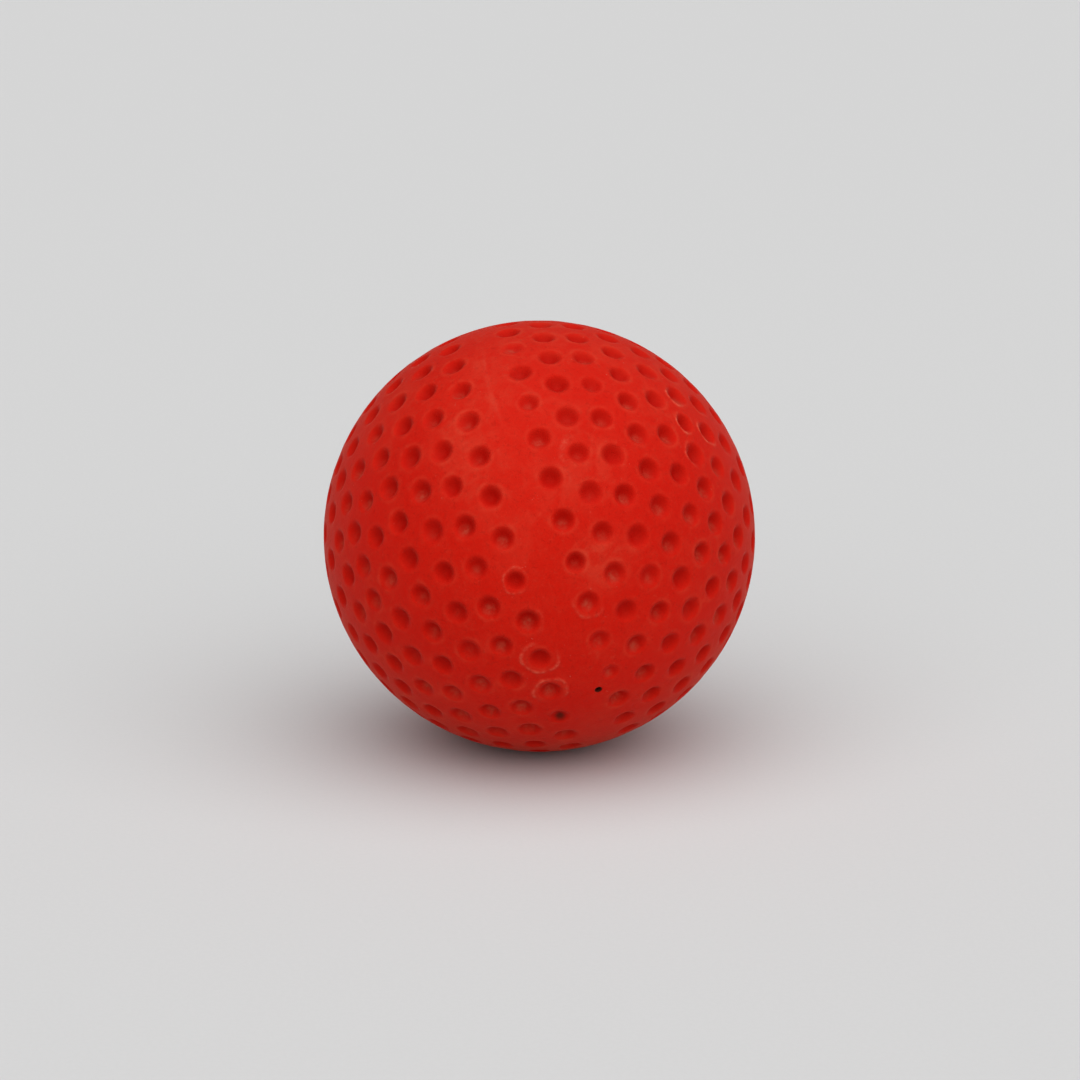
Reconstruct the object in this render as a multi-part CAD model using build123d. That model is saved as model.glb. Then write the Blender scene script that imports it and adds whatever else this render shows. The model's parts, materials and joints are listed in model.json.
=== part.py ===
from build123d import *
from math import cos, radians, sin, sqrt
import os

# Hollow moulded rubber ball: two dimpled half shells joined at a stepped rim with a cement film,
# and a soft self-sealing gum pad bonded inside behind a needle hole near the seam.
# Millimetres. The origin is the ball's centre, and +Z is up as the ball lies.
# The two halves are moulded about one axis, which leans up from +X by MOULD_LEAN in the XZ plane.
# Everything is made with that axis along X, and is leaned over last.

BALL_DIAMETER = 72.0
WALL = 5.0
MOULD_LEAN = 16.5

# Dimples: round hollows, each a part of a ball, in rings round the moulding axis. They are the same on
# both halves except for how far each ring is turned. Each row is the ring's latitude from the seam in
# degrees, its number of dimples, and the azimuth of its first dimple on the plain half and the hole half.
RINGS = (
    (8.0, 32, 5.1, 5.0),
    (16.7, 32, 10.3, 11.2),
    (25.6, 30, 4.7, 10.7),
    (34.5, 30, 9.7, 4.6),
    (43.5, 24, 13.4, 7.7),
    (51.7, 24, 5.2, 0.7),
    (60.4, 18, 5.2, 7.0),
    (69.6, 12, 15.2, 17.0),
    (79.0, 6, 30.0, 2.0),
)
POLE_LATITUDE = 90.0
DIMPLE_DIAMETER = 3.6
DIMPLE_DEPTH = 1.3

# Joint between the halves: a tongue on the hole half enters a rebate in the plain half, and the
# cement fills the clearance on all three faces.
CEMENT_THICKNESS = 0.2
TONGUE_THICKNESS = 2.3
TONGUE_REACH = 1.0

# Needle hole in the smooth band, and the gum pad behind it.
HOLE_RADIUS = 0.5
HOLE_LATITUDE = 3.8
HOLE_AZIMUTH = 122.0
HOLE_OVERRUN = 2.0
PAD_RADIUS = 6.0
PAD_THICKNESS = 3.0
PAD_EDGE_BREAK = 0.8
PAD_END_GAP = 0.1

OUTER_RADIUS = BALL_DIAMETER / 2
INNER_RADIUS = OUTER_RADIUS - WALL
HALF_FILM = CEMENT_THICKNESS / 2
TONGUE_RADIUS = INNER_RADIUS + TONGUE_THICKNESS
REBATE_RADIUS = TONGUE_RADIUS + CEMENT_THICKNESS
REBATE_REACH = TONGUE_REACH + CEMENT_THICKNESS

PLAIN_HALF = -1
HOLE_HALF = 1
ON_BASE = (Align.CENTER, Align.CENTER, Align.MIN)


def on_sphere(radius, x):
    """Distance from the moulding axis of the sphere of this radius at the station x."""
    return sqrt(radius**2 - x**2)


def direction(latitude, azimuth):
    """Unit vector at this latitude from the seam, with azimuth 0 up and 90 to the front."""
    across = cos(radians(latitude))
    return Vector(
        sin(radians(latitude)),
        -across * sin(radians(azimuth)),
        across * cos(radians(azimuth)),
    )


def as_it_lies(shape):
    """Leans a finished shape over to the way the ball lies."""
    return shape.rotate(Axis.Y, -MOULD_LEAN)


def sphere_arc(radius, x_start, x_end):
    """Arc of an outline on a sphere of this radius, between two stations on the moulding axis."""
    x_middle = (x_start + x_end) / 2
    return ThreePointArc(
        (x_start, on_sphere(radius, x_start)),
        (x_middle, on_sphere(radius, x_middle)),
        (x_end, on_sphere(radius, x_end)),
    )


def half_shell_blank(step_radius, step_end):
    """Undimpled shell on the +X side. Inside step_radius its rim stands at step_end."""
    outline = [
        sphere_arc(OUTER_RADIUS, OUTER_RADIUS, HALF_FILM),
        Polyline(
            (HALF_FILM, on_sphere(OUTER_RADIUS, HALF_FILM)),
            (HALF_FILM, step_radius),
            (step_end, step_radius),
            (step_end, on_sphere(INNER_RADIUS, step_end)),
        ),
        sphere_arc(INNER_RADIUS, step_end, INNER_RADIUS),
        Line((INNER_RADIUS, 0), (OUTER_RADIUS, 0)),
    ]
    return revolve(make_face(outline), Axis.X)


def dimple_cutters(half):
    """Balls that cut a half's dimples on the +X side. The plain half is turned over afterwards,
    so its azimuths run the other way here."""
    rim = DIMPLE_DIAMETER / 2
    cutter_radius = (rim**2 + DIMPLE_DEPTH**2) / (2 * DIMPLE_DEPTH)
    centre_distance = OUTER_RADIUS - DIMPLE_DEPTH + cutter_radius
    spots = [direction(POLE_LATITUDE, 0)]
    for latitude, count, plain_turn, hole_turn in RINGS:
        first = hole_turn if half == HOLE_HALF else plain_turn
        azimuths = [first + i * 360 / count for i in range(count)]
        spots += [direction(latitude, half * azimuth) for azimuth in azimuths]
    return [Pos(spot * centre_distance) * Sphere(cutter_radius) for spot in spots]


def facing_hole():
    """Plane through the ball's centre that faces out along the needle hole."""
    return Plane(origin=(0, 0, 0), z_dir=direction(HOLE_LATITUDE, HOLE_AZIMUTH))


def needle_hole():
    """Cutter of the needle hole, through the wall and square to the surface."""
    drill = Cylinder(HOLE_RADIUS, WALL + 2 * HOLE_OVERRUN, align=ON_BASE)
    return facing_hole() * Pos(0, 0, INNER_RADIUS - HOLE_OVERRUN) * drill


def hole_half_shell():
    """Half with the needle hole. Its tongue crosses the seam."""
    blank = half_shell_blank(TONGUE_RADIUS, -TONGUE_REACH)
    return blank - dimple_cutters(HOLE_HALF) - needle_hole()


def plain_half_shell():
    """Half with no hole. Its rebate takes the tongue."""
    blank = half_shell_blank(REBATE_RADIUS, REBATE_REACH)
    return (blank - dimple_cutters(PLAIN_HALF)).rotate(Axis.Z, 180)


def cement_ring():
    """Film of cement between the halves, stepped round the tongue."""
    outline = [
        sphere_arc(OUTER_RADIUS, HALF_FILM, -HALF_FILM),
        Polyline(
            (-HALF_FILM, on_sphere(OUTER_RADIUS, HALF_FILM)),
            (-HALF_FILM, REBATE_RADIUS),
            (-REBATE_REACH, REBATE_RADIUS),
            (-REBATE_REACH, on_sphere(INNER_RADIUS, REBATE_REACH)),
        ),
        sphere_arc(INNER_RADIUS, -REBATE_REACH, -TONGUE_REACH),
        Polyline(
            (-TONGUE_REACH, on_sphere(INNER_RADIUS, TONGUE_REACH)),
            (-TONGUE_REACH, TONGUE_RADIUS),
            (HALF_FILM, TONGUE_RADIUS),
            (HALF_FILM, on_sphere(OUTER_RADIUS, HALF_FILM)),
        ),
    ]
    return revolve(make_face(outline), Axis.X)


def gum_pad():
    """Soft pad on the inner wall behind the hole, cut straight at the end of the tongue."""
    face_distance = INNER_RADIUS - PAD_THICKNESS
    disc = Cylinder(PAD_RADIUS, WALL + PAD_THICKNESS, align=ON_BASE)
    face_rim = disc.edges().filter_by(GeomType.CIRCLE).sort_by(Axis.Z)[0]
    disc = chamfer(face_rim, PAD_EDGE_BREAK)
    bonded = (facing_hole() * Pos(0, 0, face_distance) * disc) & Sphere(INNER_RADIUS)
    across_seam = Pos(PAD_END_GAP - TONGUE_REACH, 0, 0) * Box(
        BALL_DIAMETER, BALL_DIAMETER, BALL_DIAMETER, align=(Align.MAX, Align.CENTER, Align.CENTER)
    )
    return bonded - across_seam


nodes = {
    "hole_half_shell": hole_half_shell(),
    "plain_half_shell": plain_half_shell(),
    "seam_cement_ring": cement_ring(),
    "self_sealing_gum_pad": gum_pad(),
}

os.makedirs("parts", exist_ok=True)
for name, shape in nodes.items():
    export_step(as_it_lies(shape), f"parts/{name}.step")
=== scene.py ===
"""Hollow dimpled rubber ball, made of two moulded halves joined at a stepped rim by a cement film,
with a needle hole beside the seam and a soft gum pad behind it. Metres, in the frame of the parts.

Each half is one closed shell. It is worked out in the mould's frame, where the moulding axis is X and
the seam is the plane x = 0, and is leaned over last to the way the ball lies.
"""

import bmesh
import bpy
import json
import numpy as np
from math import cos, pi, radians, sin, sqrt
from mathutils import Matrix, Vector
from mathutils.geometry import delaunay_2d_cdt


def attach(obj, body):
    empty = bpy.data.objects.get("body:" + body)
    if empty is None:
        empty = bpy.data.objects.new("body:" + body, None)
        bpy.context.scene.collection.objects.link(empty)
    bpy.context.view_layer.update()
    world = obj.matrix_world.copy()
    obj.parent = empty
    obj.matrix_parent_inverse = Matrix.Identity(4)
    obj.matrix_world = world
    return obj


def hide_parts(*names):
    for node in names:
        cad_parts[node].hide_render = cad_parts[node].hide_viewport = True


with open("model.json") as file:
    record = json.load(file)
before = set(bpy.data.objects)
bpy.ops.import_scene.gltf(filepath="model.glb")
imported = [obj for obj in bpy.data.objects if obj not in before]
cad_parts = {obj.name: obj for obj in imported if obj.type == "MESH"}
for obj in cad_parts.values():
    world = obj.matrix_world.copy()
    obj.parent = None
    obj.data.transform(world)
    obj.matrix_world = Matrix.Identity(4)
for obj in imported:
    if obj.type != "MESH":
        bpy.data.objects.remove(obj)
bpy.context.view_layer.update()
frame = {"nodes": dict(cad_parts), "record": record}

MM = 0.001
MOUNTS = {mount["name"]: mount for mount in frame["record"]["mounts"]}

# The ball. Its lowest point is the seat that it rests on.
BALL_RADIUS = -MOUNTS["cup_seat"]["pos_m"][2]
WALL = MOUNTS["needle_hole"]["dims"]["length_mm"] * MM
CAVITY_RADIUS = BALL_RADIUS - WALL
MOULD_LEAN = 16.5  # degrees up from +X

# The joint between the halves
HALF_FILM = 0.1 * MM
TONGUE_THICKNESS = 2.3 * MM
TONGUE_REACH = 1.0 * MM
CEMENT_THICKNESS = 2 * HALF_FILM
TONGUE_RADIUS = CAVITY_RADIUS + TONGUE_THICKNESS
REBATE_RADIUS = TONGUE_RADIUS + CEMENT_THICKNESS
REBATE_REACH = TONGUE_REACH + CEMENT_THICKNESS
RIM_POINTS = 480

# The needle hole and its softened mouth
HOLE_RADIUS = MOUNTS["needle_hole"]["dims"]["r_mm"] * MM
HOLE_MOUTH = 0.2 * MM
HOLE_POINTS = 32

# Rings of dimples: latitude from the seam, number in the ring, and the azimuth of the first one on the
# plain half and on the hole half, in degrees. Azimuth 0 is up and 90 is to the front.
RINGS = (
    (8.0, 32, 5.1, 5.0),
    (16.7, 32, 10.3, 11.2),
    (25.6, 30, 4.7, 10.7),
    (34.5, 30, 9.7, 4.6),
    (43.5, 24, 13.4, 7.7),
    (51.7, 24, 5.2, 0.7),
    (60.4, 18, 5.2, 7.0),
    (69.6, 12, 15.2, 17.0),
    (79.0, 6, 30.0, 2.0),
)

# A dimple, the low lip round it, and the ridges of flash that stand round some. Reaches, widths and sways
# are in dimple radii, and reaches are from its middle.
DIMPLE_RADIUS = 1.8 * MM
DIMPLE_DEPTH = 1.2 * MM
RIM_SOFTNESS = 7.0  # a higher number makes a crisper rim
LIP_HEIGHT = 0.015 * MM
LIP_REACH = 1.3
LIP_WIDTH = 0.14
RIDGE_HEIGHT = 0.10 * MM
RIDGE_WIDTH = 0.11
RIDGE_SWAY = 0.09  # how far a ridge's line wanders in and out
FURROW_SHARE = 0.5  # depth of the furrow outside a ridge, as a share of its height
RIDGE_FADE = 50.0  # degrees over which the ends of a ridge fade
RIDGE_FULLNESS = 0.6  # mean height of a ridge, as a share of its full height

# Waves along a ridge, in its line and in its height: size, how many go round a dimple, and how far they
# turn from one dimple to the next, in radians
SWAY_WAVES = ((1.0, 2, 1.7), (0.6, 5, 1))
HEIGHT_WAVES = ((0.25, 5, 1), (0.2, 13, 2))

# How much dimples differ from each other by chance
SIZE_SPREAD = 0.045
DEPTH_SPREAD = 0.14
PLACE_SPREAD = 0.05 * MM
DUST_AND_SHEEN_RANGE = (-0.5, 1.3)  # below 0 there is no dust with its painted sheen, and above 1 no more than at 1
SEED = 7

# Spots of dust with a painted sheen, and of dirt, in a dimple: how far up and to the right the middle is,
# how far the spot reaches, and how many reaches out it has faded away. The dust spot sits low, where the
# wall faces the overhead light, so its paleness is partly a painted sheen of that light.
DUST_AND_SHEEN_SPOT = (-0.38, -0.08)
DUST_AND_SHEEN_REACH = 0.55
DUST_AND_SHEEN_EDGE = 1.25
STAIN_SPOT = (-0.35, 0.15)
STAIN_REACH = 0.42
STAIN_EDGE = 1.6
MOUTH_SHADE = 1.4  # how soon the painted shade in the hole's mouth is at its full strength

# Rings of mesh points in and round a dimple: reach, number of points
DIMPLE_MESH = (
    (0.22, 8), (0.42, 14), (0.58, 20), (0.72, 24), (0.83, 28), (0.91, 28), (0.97, 28),
    (1.03, 28), (1.1, 28), (1.2, 28), (1.33, 28),
)
MOUTH_MESH = (0.0, 0.3, 0.65, 1.0, 1.6, 2.6)  # widths of the mouth out from the hole
HOLE_END_MESH = (1.0, 1.5, 2.2)  # hole radii, where it meets the cavity
TUBE_MESH = (0.06, 0.25, 0.6)  # shares of the hole's length
RIDGE_MESH = (-2.2, -1.4, -0.7, 0.0, 0.7, 1.4, 2.1, 2.8)  # ridge widths either side of the ridge's line
RIDGE_MESH_GAP = 0.6  # ridge widths kept clear on both sides of those
RIDGE_POINTS = 56

# Points between the dimples and in the cavity, and the room they leave to the rings and rows of points
LAND_SPACING = 0.75 * MM
ROOM_AT_DIMPLE = 0.5 * LAND_SPACING
ROOM_AT_SEAM = 0.6 * LAND_SPACING
ROOM_AT_MOUTH = 0.6 * LAND_SPACING
CAVITY_SPACING = 1.3 * MM
ROOM_AT_RIM = 0.7 * CAVITY_SPACING
ROOM_AT_HOLE_END = 0.5 * CAVITY_SPACING
MERGE_DISTANCE = 1e-9  # on the flat map where points are joined into triangles

PLAIN = -1
HOLED = 1

# What a point's masks are where nothing else is given. dimple is how many dimple radii it is from the
# middle of one, up to 2, and the others run from 0 to 1.
USUAL_MASKS = {"dimple": 2.0, "shallow": 0.0, "worn": 0.0, "stained": 0.0, "bloomed": 0.0,
               "dusted_and_sheened": 0.0}

# Dimples that differ from the rest, by half, ring and place in the ring. size and depth are shares of
# the usual ones. ridge is the height of a line of flash round the dimple, as a share of the usual one.
# reach is how far out the ridge stands, and width is a share of the usual width. start and end are the
# angles between which it stands, clockwise from the top, and wear is how pale it is. stain is dirt on the
# floor of the dimple. The dust entry is the least dust, with its painted sheen, in the dimple, and chance
# may add more.
USUAL = {"size": 1.0, "depth": 1.0, "ridge": 0.0, "reach": 1.5, "width": 1.0, "start": 0.0, "end": 360.0,
         "wear": 0.0, "stain": 0.0, "dust": 0.0}
ODD_DIMPLES = {
    (PLAIN, 1, 3): {"dust": 0.5},
    (PLAIN, 1, 7): {"size": 0.86, "depth": 0.9, "ridge": 0.9, "reach": 1.36, "start": 150, "end": 400,
                    "wear": 0.5},
    (PLAIN, 1, 8): {"size": 1.06, "depth": 1.2, "ridge": 0.5, "reach": 1.36, "start": 10, "end": 130,
                    "wear": 0.3},
    (PLAIN, 1, 9): {"size": 0.94, "depth": 1.15, "ridge": 1.8, "reach": 1.68, "width": 1.3, "start": 80,
                    "end": 330, "wear": 0.5},
    (PLAIN, 1, 10): {"ridge": 1.8, "reach": 1.5, "width": 1.3, "start": 230, "end": 470, "wear": 0.4},
    (PLAIN, 1, 11): {"size": 0.95, "depth": 0.7, "stain": 0.85},
    (HOLED, 1, 1): {"size": 0.92, "depth": 0.35},
    (HOLED, 1, 3): {"size": 0.86, "depth": 0.75, "ridge": 0.4, "reach": 1.3, "wear": 0.2},
    (HOLED, 1, 5): {"ridge": 0.5, "reach": 1.6, "width": 1.6, "start": 20, "end": 130, "wear": 0.3},
    (HOLED, 1, 7): {"size": 0.86},
    (HOLED, 1, 8): {"size": 0.9, "depth": 0.75, "ridge": 0.8, "reach": 1.5, "width": 1.3, "start": 120,
                    "end": 270, "wear": 0.5},
    (HOLED, 1, 9): {"size": 0.88, "depth": 0.7},
    (HOLED, 1, 10): {"size": 0.8, "depth": 0.5},
    (HOLED, 2, 2): {"size": 1.08, "depth": 1.15},
    (HOLED, 2, 4): {"size": 0.95, "ridge": 1.0, "reach": 1.75, "width": 2.6, "start": 255, "end": 335,
                    "wear": 0.5},
    (HOLED, 3, 2): {"size": 0.88, "depth": 0.75},
    (HOLED, 3, 7): {"depth": 0.7},
    (HOLED, 6, 2): {"ridge": 1.1, "reach": 1.2, "start": 190, "end": 330, "wear": 1.0},
    (HOLED, 6, 3): {"size": 0.92, "depth": 1.2, "ridge": 1.1, "reach": 1.2, "start": 190, "end": 340,
                    "wear": 1.0},
    (HOLED, 6, 4): {"ridge": 0.8, "reach": 1.2, "start": 220, "end": 340, "wear": 0.7},
    (HOLED, 7, 1): {"ridge": 0.8, "reach": 1.2, "start": 200, "end": 320, "wear": 0.6},
    (HOLED, 7, 2): {"depth": 1.2, "ridge": 1.1, "reach": 1.2, "start": 170, "end": 330, "wear": 1.0},
}

# What is left of the moulding line along the seam: a low ridge that was buffed away nearly all round.
# Each stretch is its first and last azimuth and its strength, and its line sways across the seam.
PARTING_HEIGHT = 0.05 * MM
PARTING_WIDTH = 0.34 * MM
PARTING_SWAY = 0.42 * MM
PARTING_WAVES = 8  # round the whole seam
PARTING_TURN = 160.0  # degrees
PARTING_FADE = 6.0  # degrees over which the ends of a stretch fade
PARTING_WEAR = 0.2
PARTING_STRETCHES = ((16.0, 42.0, 0.6), (190.0, 215.0, 0.7), (262.0, 275.0, 0.5))

# Rows of mesh points beside the seam: distances from it, from the film's edge outwards
SEAM_ROWS = (HALF_FILM, 0.3 * MM, 0.55 * MM, 0.85 * MM)

# Patches where the rubber's pale bloom wasn't rubbed off: latitude and azimuth to the nearest 5 degrees,
# reach in millimetres, and strength. A patch has faded away BLOOM_EDGE reaches out.
BLOOM_EDGE = 1.3
BLOOM_PATCHES = (
    (0, 30, 9, 0.6), (-10, 45, 9, 0.7), (-5, 60, 9, 0.5), (-5, 75, 6, 0.3), (0, 20, 2, 1.0), (0, 35, 3, 0.6),
    (15, 60, 8, 0.6), (15, 85, 6, 1.0), (15, 40, 6, 0.5), (45, 25, 13, 0.5), (15, 10, 12, 0.7),
    (0, 150, 11, 0.7), (-25, 145, 10, 0.5), (-45, 130, 12, 0.35), (30, 150, 9, 0.4),
    (-30, 20, 9, 0.4), (-5, 195, 12, 0.7), (-20, 230, 14, 0.6), (20, 270, 13, 0.8),
    (5, 320, 12, 0.6), (-60, 300, 13, 0.5), (60, 205, 12, 0.5), (-60, 200, 9, 0.5),
)


# ---------------------------------------------------------------- directions and points

def unit(vectors):
    return vectors / np.linalg.norm(vectors, axis=-1, keepdims=True)


def direction(latitude, azimuth):
    """Unit vector at this latitude from the seam and this azimuth, in the mould's frame."""
    across = cos(radians(latitude))
    return np.array((
        sin(radians(latitude)),
        -across * sin(radians(azimuth)),
        across * cos(radians(azimuth)),
    ))


def turned(points, angle):
    """Points turned about Y, so that +X rises by the angle."""
    c, s = cos(radians(angle)), sin(radians(angle))
    x, y, z = np.asarray(points).T
    return np.stack((x * c - z * s, y, x * s + z * c), axis=-1)


def clock_axes(centre):
    """Tangents at a point of the ball: upwards as the ball lies, and to the right seen from outside."""
    up = turned(np.array((0.0, 0.0, 1.0)), -MOULD_LEAN)
    up = unit(up - centre * (up @ centre))
    return up, np.cross(up, centre)


def ring_about(centre, reach, count, offset=0.0):
    """Directions evenly round a centre, at this distance along the ball's surface."""
    up, right = clock_axes(centre)
    turns = (np.arange(count) + offset)[:, None] * 2 * pi / count
    swing = reach / BALL_RADIUS
    return centre * cos(swing) + (up * np.cos(turns) + right * np.sin(turns)) * sin(swing)


def spread_over_ball(spacing, radius):
    """Directions spread evenly over the whole ball, on a golden-angle spiral."""
    count = int(4 * pi * radius**2 / (spacing**2 * sqrt(3) / 2))
    x = 1 - (2 * np.arange(count) + 1) / count
    turns = np.arange(count) * pi * (3 - sqrt(5))
    across = np.sqrt(1 - x**2)
    return np.stack((x, across * np.cos(turns), across * np.sin(turns)), axis=-1)


def hoop(x, radius, offset=0.0):
    """Points on a circle about the moulding axis."""
    turns = (np.arange(RIM_POINTS) + offset) * 2 * pi / RIM_POINTS
    return np.stack((np.full(RIM_POINTS, x), -radius * np.sin(turns), radius * np.cos(turns)), axis=-1)


def on_ball(radius, x):
    """Radius of the circle where the plane at x cuts a sphere."""
    return sqrt(radius**2 - x**2)


def arc_share(angle, start, end, fade):
    """1 between two clock angles and 0 outside them, in degrees, with soft ends."""
    middle, half = (start + end) / 2, (end - start) / 2
    away = np.abs((angle - middle + 180) % 360 - 180)
    return np.clip((half + fade / 2 - away) / fade, 0, 1)


# ---------------------------------------------------------------- dimples and the ball's surface

HOLE_CENTRE = turned(np.array(MOUNTS["needle_hole"]["axis"]), -MOULD_LEAN)


def arc_from_hole(points):
    """Distance along the ball's surface from the middle of the needle hole."""
    return np.arccos(np.clip(points @ HOLE_CENTRE, -1, 1)) * BALL_RADIUS


def waves(kinds, turn, which):
    """Sum of waves at these turns round these dimples."""
    return sum(size * np.sin(count * turn + shift * which) for size, count, shift in kinds)


class Dimples:
    """The dimples of one half, as arrays with one row per dimple."""

    def __init__(self, side):
        self.side = side
        chance = np.random.default_rng(SEED + side)
        centres = [direction(90 * side, 0)]
        traits = [USUAL]
        for ring, (latitude, count, plain_turn, hole_turn) in enumerate(RINGS, 1):
            first = hole_turn if side == HOLED else plain_turn
            for place in range(count):
                centres.append(direction(latitude * side, first + place * 360 / count))
                traits.append({**USUAL, **ODD_DIMPLES.get((side, ring, place), {})})
        number = len(centres)
        nudge = chance.normal(0, PLACE_SPREAD / BALL_RADIUS, (number, 3))
        self.centres = unit(np.array(centres) + nudge)
        for name in USUAL:
            setattr(self, name, np.array([trait[name] for trait in traits], float))
        self.dust = np.maximum(self.dust, np.clip(chance.uniform(*DUST_AND_SHEEN_RANGE, number), 0, 1))
        self.size *= 1 + chance.uniform(-SIZE_SPREAD, SIZE_SPREAD, number)
        self.depth *= 1 + chance.uniform(-DEPTH_SPREAD, DEPTH_SPREAD, number)
        self.radius = self.size * DIMPLE_RADIUS
        axes = [clock_axes(centre) for centre in self.centres]
        self.ups = np.array([up for up, _ in axes])
        self.rights = np.array([right for _, right in axes])

    def nearest(self, points):
        """For each direction, its nearest dimple, how many dimple radii away it is, and at what angle."""
        arcs = np.arccos(np.clip(points @ self.centres.T, -1, 1)) * BALL_RADIUS
        which = np.argmin(arcs / self.radius, axis=1)
        away = arcs[np.arange(len(points)), which] / self.radius[which]
        up = np.einsum("ij,ij->i", points, self.ups[which])
        right = np.einsum("ij,ij->i", points, self.rights[which])
        return which, away, np.degrees(np.arctan2(right, up))

    def ridge_share(self, which, away, angle):
        """How fully each point stands on a ridge of flash, and in the furrow outside it."""
        turn = np.radians(angle)
        sway = RIDGE_SWAY * waves(SWAY_WAVES, turn, which)
        beyond = away - self.reach[which] - sway
        width = RIDGE_WIDTH * self.width[which]
        line = np.exp(-((beyond / width) ** 2))
        furrow = np.exp(-(((beyond - 2 * width) / width) ** 2))
        share = arc_share(angle, self.start[which], self.end[which], RIDGE_FADE)
        uneven = RIDGE_FULLNESS + waves(HEIGHT_WAVES, turn, which)
        share = self.ridge[which] * share * uneven
        return line * share, furrow * share


def parting_share(points):
    """How fully each direction stands on what is left of the moulding line."""
    x, y, z = points.T
    azimuth = np.degrees(np.arctan2(-y, z)) % 360
    sway = -PARTING_SWAY * np.sin(np.radians(PARTING_WAVES * azimuth - PARTING_TURN))
    line = np.exp(-(((x * BALL_RADIUS - sway) / PARTING_WIDTH) ** 2))
    stretches = [
        strength * arc_share(azimuth, start, end, PARTING_FADE)
        for start, end, strength in PARTING_STRETCHES
    ]
    return line * sum(stretches)


def bloom_share(points):
    """How much bloom the patches leave at each direction."""
    share = 0
    for latitude, azimuth, reach, strength in BLOOM_PATCHES:
        arc = np.arccos(np.clip(points @ direction(latitude, azimuth), -1, 1)) * BALL_RADIUS
        near = np.clip(BLOOM_EDGE - arc / (reach * MM), 0, 1)
        share = share + strength * near * near * (3 - 2 * near)
    return np.clip(share, 0, 1)


def surface(points, dimples):
    """Heights over the ball's radius for these directions, and the masks that the rubber's colour uses."""
    which, away, angle = dimples.nearest(points)
    inside = np.logaddexp(0, RIM_SOFTNESS * (1 - away**2)) / RIM_SOFTNESS
    bowl = DIMPLE_DEPTH * dimples.depth[which] * inside
    lip = LIP_HEIGHT * np.exp(-(((away - LIP_REACH) / LIP_WIDTH) ** 2))
    ridge, furrow = dimples.ridge_share(which, away, angle)
    parting = parting_share(points)
    height = lip - bowl + RIDGE_HEIGHT * (ridge - FURROW_SHARE * furrow) + PARTING_HEIGHT * parting
    turn = np.radians(angle)
    up, right = away * np.cos(turn), away * np.sin(turn)
    # The dust spot, with its painted sheen, sits low in each dimple
    off_dust_and_sheen = np.hypot(up - DUST_AND_SHEEN_SPOT[0], right - DUST_AND_SHEEN_SPOT[1])
    off_stain = np.hypot(up - STAIN_SPOT[0], right - STAIN_SPOT[1])
    stained = dimples.stain[which] * np.clip(STAIN_EDGE - off_stain / STAIN_REACH, 0, 1)
    if dimples.side == HOLED:
        into_mouth = np.clip((HOLE_RADIUS + HOLE_MOUTH - arc_from_hole(points)) / HOLE_MOUTH, 0, 1)
        height -= HOLE_MOUTH * (1 - np.sqrt(1 - into_mouth**2))
        # Painted shade in the needle hole's rounded mouth, darker towards the hole
        stained = np.maximum(stained, np.clip(into_mouth * MOUTH_SHADE, 0, 1))
    return height, {
        "dimple": np.clip(away, 0, 2),
        "shallow": np.clip(1 - dimples.depth[which], 0, 1),
        "worn": np.clip(ridge * dimples.wear[which] + PARTING_WEAR * parting, 0, 1),
        "stained": stained,
        "bloomed": bloom_share(points),
        "dusted_and_sheened": dimples.dust[which] * np.clip(DUST_AND_SHEEN_EDGE - off_dust_and_sheen / DUST_AND_SHEEN_REACH, 0, 1),
    }


# ---------------------------------------------------------------- meshes

def triangulated(points, side):
    """Triangles over directions that cover one side of the ball. They are made on a flat map that keeps
    circles round, so they are well shaped on the ball too."""
    x, y, z = points.T
    flat = np.stack((y, z), axis=-1) / (1 + side * x)[:, None]
    made = delaunay_2d_cdt([Vector(p) for p in flat], [], [], 0, MERGE_DISTANCE)
    sources = np.array([source[0] for source in made[3]])
    return sources[np.array(made[2])]


def dimple_mesh_steps(dimples, number):
    """Reaches and point counts of the mesh rings round one dimple, with close rings along its ridge."""
    steps = list(DIMPLE_MESH)
    if dimples.ridge[number]:
        line, width = dimples.reach[number], RIDGE_WIDTH * sqrt(dimples.width[number])
        low = line + (RIDGE_MESH[0] - RIDGE_MESH_GAP) * width
        high = line + (RIDGE_MESH[-1] + RIDGE_MESH_GAP) * width
        steps = [step for step in steps if not low < step[0] < high]
        steps += [(line + share * width, RIDGE_POINTS) for share in RIDGE_MESH]
    return sorted(steps)


def outer_directions(side, dimples):
    """Mesh points of a half's dimpled skin. The seam's rows come first, then the hole's mouth."""
    parts = [unit(hoop(side * x, on_ball(BALL_RADIUS, x), i % 2 / 2)) for i, x in enumerate(SEAM_ROWS)]
    if side == HOLED:
        parts += [
            ring_about(HOLE_CENTRE, HOLE_RADIUS + HOLE_MOUTH * share, HOLE_POINTS, i % 2 / 2)
            for i, share in enumerate(MOUTH_MESH)
        ]
    outermost = np.zeros(len(dimples.radius))
    for number, centre in enumerate(dimples.centres):
        steps = dimple_mesh_steps(dimples, number)
        outermost[number] = steps[-1][0]
        parts.append(centre[None])
        parts += [
            ring_about(centre, reach * dimples.radius[number], count, i % 2 / 2)
            for i, (reach, count) in enumerate(steps)
        ]
    land = spread_over_ball(LAND_SPACING, BALL_RADIUS)
    land = land[land[:, 0] * side > (SEAM_ROWS[-1] + ROOM_AT_SEAM) / BALL_RADIUS]
    which, away, _ = dimples.nearest(land)
    clear = (away - outermost[which]) * dimples.radius[which] > ROOM_AT_DIMPLE
    if side == HOLED:
        clear &= arc_from_hole(land) > HOLE_RADIUS + MOUTH_MESH[-1] * HOLE_MOUTH + ROOM_AT_MOUTH
    return np.concatenate([*parts, land[clear]])


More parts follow.
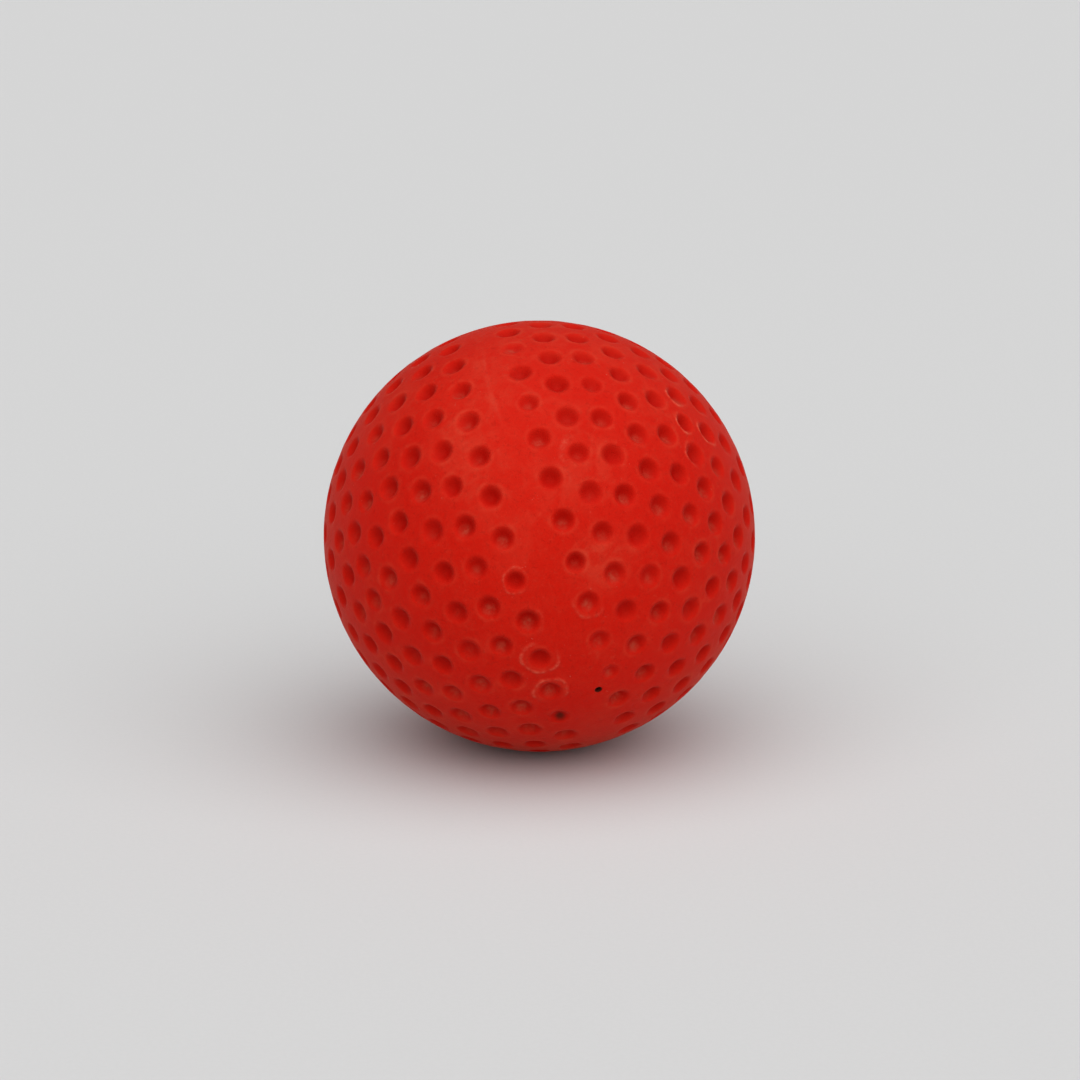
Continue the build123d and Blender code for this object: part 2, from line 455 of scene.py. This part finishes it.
def cavity_directions(side, rim_x):
    """Mesh points of the cavity's wall. Its rim, at rim_x, comes first, then the hole's inner end."""
    parts = [unit(hoop(rim_x, on_ball(CAVITY_RADIUS, rim_x)))]
    fill = spread_over_ball(CAVITY_SPACING, CAVITY_RADIUS)
    fill = fill[side * (fill[:, 0] - rim_x / CAVITY_RADIUS) > ROOM_AT_RIM / CAVITY_RADIUS]
    if side == HOLED:
        reach = HOLE_RADIUS * BALL_RADIUS / CAVITY_RADIUS
        parts += [
            ring_about(HOLE_CENTRE, reach * share, HOLE_POINTS, i % 2 / 2)
            for i, share in enumerate(HOLE_END_MESH)
        ]
        fill = fill[arc_from_hole(fill) > reach * HOLE_END_MESH[-1] + ROOM_AT_HOLE_END]
    return np.concatenate([*parts, fill])


class Shell:
    """A closed mesh that is being put together from groups of points in the mould's frame."""

    def __init__(self):
        self.points, self.faces, self.smooth, self.masks = [], [], [], []
        self.count = 0

    def add(self, points, **masks):
        """Adds points with their masks, and gives their numbers."""
        self.points.append(points)
        self.masks.append({mask: np.broadcast_to(masks.get(mask, usual), len(points))
                           for mask, usual in USUAL_MASKS.items()})
        self.count += len(points)
        return np.arange(self.count - len(points), self.count)

    def join(self, faces, smooth=True):
        self.faces += np.asarray(faces).tolist()
        self.smooth += [smooth] * len(faces)

    def bridge(self, loops, smooth=True):
        """Quads from each closed loop of points to the next."""
        for first, second in zip(loops, loops[1:]):
            quads = (first, np.roll(first, -1), np.roll(second, -1), second)
            self.join(np.stack(quads, axis=-1), smooth)

    def piece(self, name, material):
        """The finished object in the row frame. Faces that aren't smooth keep their edges crisp."""
        mesh = bpy.data.meshes.new(name)
        mesh.from_pydata(turned(np.concatenate(self.points), MOULD_LEAN).tolist(), [], self.faces)
        mesh.polygons.foreach_set("use_smooth", self.smooth)
        for mask in USUAL_MASKS:
            values = np.concatenate([group[mask] for group in self.masks])
            attribute = mesh.attributes.new(mask, "FLOAT", "POINT")
            attribute.data.foreach_set("value", values.astype(np.float32))
        working = bmesh.new()
        working.from_mesh(mesh)
        bmesh.ops.recalc_face_normals(working, faces=working.faces)
        for edge in working.edges:
            edge.smooth = all(face.smooth for face in edge.link_faces)
        working.to_mesh(mesh)
        working.free()
        mesh.materials.append(material)
        made = bpy.data.objects.new(name, mesh)
        bpy.context.collection.objects.link(made)
        return made


def half_shell(name, side, material):
    """One moulded half: dimpled skin, stepped rim, cavity wall and, on the hole half, the hole."""
    shell = Shell()
    dimples = Dimples(side)
    outer = outer_directions(side, dimples)
    height, masks = surface(outer, dimples)
    rim_x, step_radius = (-TONGUE_REACH, TONGUE_RADIUS) if side == HOLED else (-REBATE_REACH, REBATE_RADIUS)
    skin = shell.add(outer * (BALL_RADIUS + height)[:, None], **masks)
    step = [shell.add(hoop(x, step_radius)) for x in (side * HALF_FILM, rim_x)]
    inner = cavity_directions(side, rim_x)
    cavity = shell.add(inner * CAVITY_RADIUS)
    skin_faces, cavity_faces = triangulated(outer, side), cavity[triangulated(inner, side)]
    if side == HOLED:
        mouth = skin[len(SEAM_ROWS) * RIM_POINTS:][:HOLE_POINTS]
        end = cavity[RIM_POINTS:][:HOLE_POINTS]
        skin_faces = skin_faces[~np.isin(skin_faces, mouth).all(axis=1)]
        cavity_faces = cavity_faces[~np.isin(cavity_faces, end).all(axis=1)]
        top = outer[mouth] * (BALL_RADIUS + height[mouth])[:, None]
        bottom = inner[RIM_POINTS:][:HOLE_POINTS] * CAVITY_RADIUS
        # Painted shade: the tube of the hole is darkened all through
        tube = [shell.add(top + (bottom - top) * share, stained=1.0) for share in TUBE_MESH]
        shell.bridge([mouth, *tube, end])
    shell.join(skin_faces)
    shell.join(cavity_faces)
    shell.bridge([skin[:RIM_POINTS], *step, cavity[:RIM_POINTS]], smooth=False)
    return shell.piece(name, material)


def cement_film(name, material):
    """The cement between the halves, flush with the skin and stepped round the tongue."""
    shell = Shell()
    edges = [unit(hoop(x, on_ball(BALL_RADIUS, x))) for x in (HALF_FILM, -HALF_FILM)]
    face = []
    for edge in edges:
        share = parting_share(edge)
        face.append(shell.add(edge * (BALL_RADIUS + PARTING_HEIGHT * share)[:, None],
                              worn=PARTING_WEAR * share, bloomed=bloom_share(edge)))
    corners = (
        (-HALF_FILM, REBATE_RADIUS),
        (-REBATE_REACH, REBATE_RADIUS),
        (-REBATE_REACH, on_ball(CAVITY_RADIUS, REBATE_REACH)),
        (-TONGUE_REACH, on_ball(CAVITY_RADIUS, TONGUE_REACH)),
        (-TONGUE_REACH, TONGUE_RADIUS),
        (HALF_FILM, TONGUE_RADIUS),
    )
    hidden = [shell.add(hoop(x, radius)) for x, radius in corners]
    shell.bridge(face)
    shell.bridge([face[1], *hidden, face[0]], smooth=False)
    return shell.piece(name, material)


# ---------------------------------------------------------------- materials

class Graph:
    """The nodes of one material or world."""

    def __init__(self, tree):
        self.tree = tree
        tree.nodes.clear()

    def node(self, kind, settings=None, sockets=None, output=0):
        """Adds a node of this type, with its settings set first and then its sockets' values or links."""
        made = self.tree.nodes.new(kind)
        for setting, value in (settings or {}).items():
            setattr(made, setting, value)
        for socket, value in (sockets or {}).items():
            if isinstance(value, Value):
                self.tree.links.new(value.socket, made.inputs[socket])
            else:
                made.inputs[socket].default_value = value
        return Value(self, made.outputs[output]) if len(made.outputs) else made

    def maths(self, operation, *values):
        return self.node("ShaderNodeMath", {"operation": operation}, dict(enumerate(values)))

    def noise(self, place, size, detail=2.0, roughness=0.5, distortion=0.0):
        """Noise from 0 to 1, with blotches of about this size in millimetres."""
        return self.node("ShaderNodeTexNoise", None, {
            "Vector": place, "Scale": 1 / size, "Detail": detail, "Roughness": roughness,
            "Distortion": distortion,
        })

    def rise(self, value, start, end):
        """0 up to start and 1 from end, smoothly."""
        return self.node("ShaderNodeMapRange", {"interpolation_type": "SMOOTHSTEP"}, {
            "Value": value, "From Min": start, "From Max": end,
        })

    def blotches(self, place, size, low, high, detail=3.0, roughness=0.6, distortion=0.0):
        """Noise that is 0 where it would be under low and 1 where it would be over high."""
        return self.rise(self.noise(place, size, detail, roughness, distortion), low, high)

    def blend(self, share, first, second):
        """The first colour where share is 0, and the second where it is 1. Sockets 6 and 7 and output 2
        are the colour ones."""
        return self.node("ShaderNodeMix", {"data_type": "RGBA"}, {0: share, 6: first, 7: second}, output=2)

    def mask(self, name):
        """A mask of the mesh's points, from the attribute's output for numbers."""
        return self.node("ShaderNodeAttribute", {"attribute_name": name}, output=2)

    def millimetres(self):
        """Place on the object in millimetres, from the output for object coordinates."""
        place = self.node("ShaderNodeTexCoord", output=3)
        return self.node("ShaderNodeVectorMath", {"operation": "SCALE"}, {0: place, "Scale": 1 / MM})


class Value:
    """A node's output. Arithmetic on it adds Math nodes."""

    def __init__(self, graph, socket):
        self.graph, self.socket = graph, socket

    def __add__(self, other):
        return self.graph.maths("ADD", self, other)

    def __sub__(self, other):
        return self.graph.maths("SUBTRACT", self, other)

    def __rsub__(self, other):
        return self.graph.maths("SUBTRACT", other, self)

    def __mul__(self, other):
        return self.graph.maths("MULTIPLY", self, other)

    __radd__ = __add__
    __rmul__ = __mul__


def material_graph(name):
    """A new material and its empty graph."""
    material = bpy.data.materials.new(name)
    material.use_nodes = True
    return material, Graph(material.node_tree)


def finish_material(graph, shader_sockets, bump_height, bump_distance):
    """Ends a graph in one shader, with a bump that rises by bump_distance where bump_height is 1."""
    bump = graph.node("ShaderNodeBump", None, {
        "Strength": 1.0, "Distance": bump_distance, "Height": bump_height,
    })
    shader = graph.node("ShaderNodeBsdfPrincipled", None, {**shader_sockets, "Normal": bump})
    graph.node("ShaderNodeOutputMaterial", None, {"Surface": shader})


# Colours of the rubber and of what lies on it, with the painted shade, highlight and sheen put on it
RED = (0.54, 0.0040, 0.0010, 1.0)
DEEP_RED = (0.49, 0.0026, 0.0007, 1.0)
# The next colour is painted shade: it darkens the dimples' walls and floors
PIT_SHADE_RED = (0.40, 0.0017, 0.0005, 1.0)
BLOOM = (0.58, 0.085, 0.042, 1.0)
# The next colour is a painted highlight, with some bloom, for the dimples' rims
RIM_HIGHLIGHT_PINK = (0.60, 0.060, 0.028, 1.0)
WORN_PINK = (0.66, 0.13, 0.075, 1.0)
# The next colour is dust with a painted sheen of the overhead light
DUST_AND_SHEEN_PINK = (0.43, 0.062, 0.034, 1.0)
LINT = (0.72, 0.28, 0.20, 1.0)
# The next colour is dirt, and also painted shade in the needle hole
DIRT_AND_HOLE_SHADE = (0.045, 0.007, 0.004, 1.0)
# The next colour is painted shade in the pores
PORE_SHADE_RED = (0.40, 0.0025, 0.0007, 1.0)
WARM_GLOSS = (1.0, 0.72, 0.42, 1.0)
WARM_SHEEN = (1.0, 0.60, 0.34, 1.0)

# Colours of the gum and of the board
DARK_GUM = (0.33, 0.15, 0.035, 1.0)
PALE_GUM = (0.62, 0.40, 0.15, 1.0)
BOARD_GREY = (0.60, 0.60, 0.60, 1.0)
BOARD_PALE_GREY = (0.63, 0.63, 0.63, 1.0)


def red_rubber(name, paleness=0.0):
    """Matt red rubber: cloudy patches of bloom, uneven rims paled by a painted highlight and some bloom,
    dimples darkened by painted shade, and spots of dust with a painted sheen low in some dimples.
    """
    material, graph = material_graph(name)
    place = graph.millimetres()
    away = graph.mask("dimple")
    # Where painted shade darkens the dimples, from their rims in to their floors
    wall = graph.rise(away, 1.26, 0.30)
    rim = graph.rise(away, 1.04, 1.22) * graph.rise(away, 1.62, 1.26)
    deep = 1 - graph.mask("shallow")
    clouds = graph.blotches(place, 11, 0.40, 0.66, 3, 0.6, 0.5)
    patches = graph.blotches(place, 4.2, 0.40, 0.66, 4, 0.62, 0.9)
    mottle = graph.blotches(place, 1.3, 0.36, 0.70, 3, 0.65)
    specks = graph.noise(place, 0.42, 3, 0.65)
    grain = graph.noise(place, 0.16, 2, 0.6)

    # The red itself, deeper where it has been handled, and darker in its pores, where the bump sinks: painted
    # shade
    handled = graph.blotches(place, 24, 0.38, 0.62, 2, 0.5)
    ground = graph.blend(handled * 0.4 + graph.rise(specks, 0.42, 0.60) * 0.6, RED, DEEP_RED)
    pores = graph.blotches(place, 0.75, 0.56, 0.70)
    ground = graph.blend(pores * 0.5, ground, PORE_SHADE_RED)

    # Bloom in clouds, patches and powder
    powder = graph.blotches(place, 0.95, 0.56, 0.74, 3, 0.65, 0.4)
    bloom = graph.mask("bloomed") * (0.05 + patches * 0.13) + clouds * (0.01 + patches * 0.05)
    bloom = bloom + powder * (0.05 + clouds * 0.07) + mottle * 0.03 + specks * 0.05 + paleness
    # Bloom is kept off the dimples' walls and floors, which adds to the painted shade there
    colour = graph.blend(bloom * (1 - wall * 0.9), ground, BLOOM)

    # Rims paled by a painted highlight and some bloom, walls darkened by painted shade, and low in the
    # dimples crumbs of dust with a painted sheen of the overhead light
    # Painted highlight: the rims are paled as if they caught the light, more where there is bloom
    rim_highlight = rim * graph.blotches(place, 3.1, 0.36, 0.68)
    colour = graph.blend(rim_highlight * (0.08 + clouds * 0.14 + graph.mask("bloomed") * 0.14), colour, RIM_HIGHLIGHT_PINK)
    # Painted shade over the dimples' walls and floors, stronger in deeper dimples
    colour = graph.blend(wall * deep, colour, PIT_SHADE_RED)
    dust_and_sheen_crumbs = graph.blotches(place, 0.75, 0.38, 0.60, 3, 0.65)
    # Painted sheen: the pale spot sits low, where the wall faces the overhead light, with dust by chance
    dust_and_sheen_share = graph.mask("dusted_and_sheened") * (0.30 + dust_and_sheen_crumbs * 0.70)
    colour = graph.blend(dust_and_sheen_share * 0.6, colour, DUST_AND_SHEEN_PINK)

    # Lint on the land, scuffed flash, dirt on a dimple's floor, and painted shade in the needle hole and its
    # mouth
    lint = graph.blotches(place, 0.55, 0.74, 0.80, 2, 0.5, 2.5)
    colour = graph.blend(lint * (1 - wall) * 0.5, colour, LINT)
    scuffs = graph.blotches(place, 0.35, 0.35, 0.62, 3, 0.7)
    colour = graph.blend(graph.mask("worn") * (0.25 + scuffs * 0.5), colour, WORN_PINK)
    colour = graph.blend(graph.mask("stained") * 0.95, colour, DIRT_AND_HOLE_SHADE)

    roughness = 0.62 + clouds * 0.08 + specks * 0.1 - wall * 0.1
    height = grain * 0.7 + specks * 1.6 + graph.noise(place, 2.6, 3, 0.5) * 4 - pores * 1.2
    finish_material(graph, {
        "Base Color": colour, "Roughness": roughness, "Specular IOR Level": 0.10,
        "Specular Tint": WARM_GLOSS,
        "Sheen Weight": 0.06, "Sheen Roughness": 0.35, "Sheen Tint": WARM_SHEEN,
    }, height, 0.02 * MM)
    return material


def soft_gum():
    """Sticky amber gum with a mottled body and a slightly wrinkled skin."""
    material, graph = material_graph("amber_gum")
    place = graph.millimetres()
    mottle = graph.noise(place, 1.8, 4, 0.6, 0.8)
    wrinkles = graph.noise(place, 0.7, 3, 0.6, 1.5)
    colour = graph.blend(mottle, DARK_GUM, PALE_GUM)
    finish_material(graph, {
        "Base Color": colour, "Roughness": 0.30 + wrinkles * 0.25, "Specular IOR Level": 0.5,
        "Subsurface Weight": 0.2, "Subsurface Radius": (1.0, 0.5, 0.2), "Subsurface Scale": 1.0 * MM,
    }, wrinkles, 0.06 * MM)
    return material


def studio_board():
    """Pale matt board for the floor."""
    material, graph = material_graph("pale_board")
    place = graph.millimetres()
    tooth = graph.noise(place, 0.8, 3, 0.6)
    colour = graph.blend(tooth, BOARD_GREY, BOARD_PALE_GREY)
    finish_material(graph, {
        "Base Color": colour, "Roughness": 0.9, "Specular IOR Level": 0.1,
    }, tooth, 0.01 * MM)
    return material


# ---------------------------------------------------------------- the pieces

HALVES = (
    ("dimpled_half_with_needle_hole", HOLED, "hole_half_shell"),
    ("dimpled_plain_half", PLAIN, "plain_half_shell"),
)
FILM_PALENESS = 0.01

rubber = red_rubber("moulded_red_rubber")
for name, side, node in HALVES:
    piece = half_shell(name, side, rubber)
    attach(piece, "root")
    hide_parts(node)
film = cement_film("seam_cement_film", red_rubber("buffed_red_cement", FILM_PALENESS))
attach(film, "root")
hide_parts("seam_cement_ring")
pad = frame["nodes"]["self_sealing_gum_pad"]
pad.data.materials.clear()
pad.data.materials.append(soft_gum())


# ---------------------------------------------------------------- floor, lights and camera

FLOOR_SIZE = 12.0
FLOOR_SQUARES = 12
CAMERA_DISTANCE = 18 * BALL_RADIUS
CAMERA_ELEVATION = 15.0
CAMERA_AZIMUTH = -3.44
CAMERA_RANGE = (0.01, 50.0)
LENS = 129.2  # millimetres, as is the sensor's width
SENSOR_WIDTH = 36.0
SHIFT = (0.0006, -0.0037)  # shares of the sensor's width
LAMP_AZIMUTH = 10.0
LAMP_ELEVATION = 60.0
LAMP_SPREAD = 105.0
LAMP_STRENGTH = 3.15
HORIZON = (0.80, 0.80, 0.80, 1.0)
OVERHEAD = (0.22, 0.22, 0.22, 1.0)
OVERHEAD_FROM = 0.22  # height on a ball round the scene, of radius 1


def floor():
    """A pale board that the ball rests on."""
    working = bmesh.new()
    bmesh.ops.create_grid(
        working, x_segments=FLOOR_SQUARES, y_segments=FLOOR_SQUARES, size=FLOOR_SIZE / 2
    )
    mesh = bpy.data.meshes.new("floor")
    working.to_mesh(mesh)
    working.free()
    mesh.materials.append(studio_board())
    board = bpy.data.objects.new("floor", mesh)
    board.location.z = -BALL_RADIUS
    bpy.context.collection.objects.link(board)


def way_out(azimuth, elevation):
    """Direction out from the ball as it lies. Azimuth 0 is to the front, and 90 to the right."""
    a, e = radians(azimuth), radians(elevation)
    return Vector((sin(a) * cos(e), -cos(a) * cos(e), sin(e)))


def place_facing_back(name, data, way, distance):
    """Puts a lamp or camera out along the way, facing the ball's centre."""
    made = bpy.data.objects.new(name, data)
    made.location = way * distance
    made.rotation_mode = "QUATERNION"
    made.rotation_quaternion = way.to_track_quat("Z", "Y")
    bpy.context.collection.objects.link(made)
    return made


def studio_lamp():
    """A very large soft lamp, far off: only its direction counts."""
    data = bpy.data.lights.new("studio_lamp", "SUN")
    data.angle, data.energy = radians(LAMP_SPREAD), LAMP_STRENGTH
    place_facing_back("studio_lamp", data, way_out(LAMP_AZIMUTH, LAMP_ELEVATION), 1.0)


def surroundings():
    """A pale room: light grey at the horizon, and darker overhead. Output 2 is how far up a way points."""
    world = bpy.data.worlds.new("pale_room")
    world.use_nodes = True
    graph = Graph(world.node_tree)
    way = graph.node("ShaderNodeTexCoord")
    height = graph.node("ShaderNodeSeparateXYZ", None, {0: way}, output=2)
    shade = graph.rise(height, 0.0, OVERHEAD_FROM)
    colour = graph.blend(shade, HORIZON, OVERHEAD)
    glow = graph.node("ShaderNodeBackground", None, {"Color": colour})
    graph.node("ShaderNodeOutputWorld", None, {"Surface": glow})
    bpy.context.scene.world = world


def camera():
    """Looks at the ball's centre from a little above it."""
    data = bpy.data.cameras.new("camera")
    data.lens, data.sensor_width = LENS, SENSOR_WIDTH
    data.shift_x, data.shift_y = SHIFT
    data.clip_start, data.clip_end = CAMERA_RANGE
    way = way_out(CAMERA_AZIMUTH, CAMERA_ELEVATION)
    bpy.context.scene.camera = place_facing_back("camera", data, way, CAMERA_DISTANCE)


floor()
surroundings()
studio_lamp()
camera()
bpy.context.scene.view_settings.view_transform = "Standard"
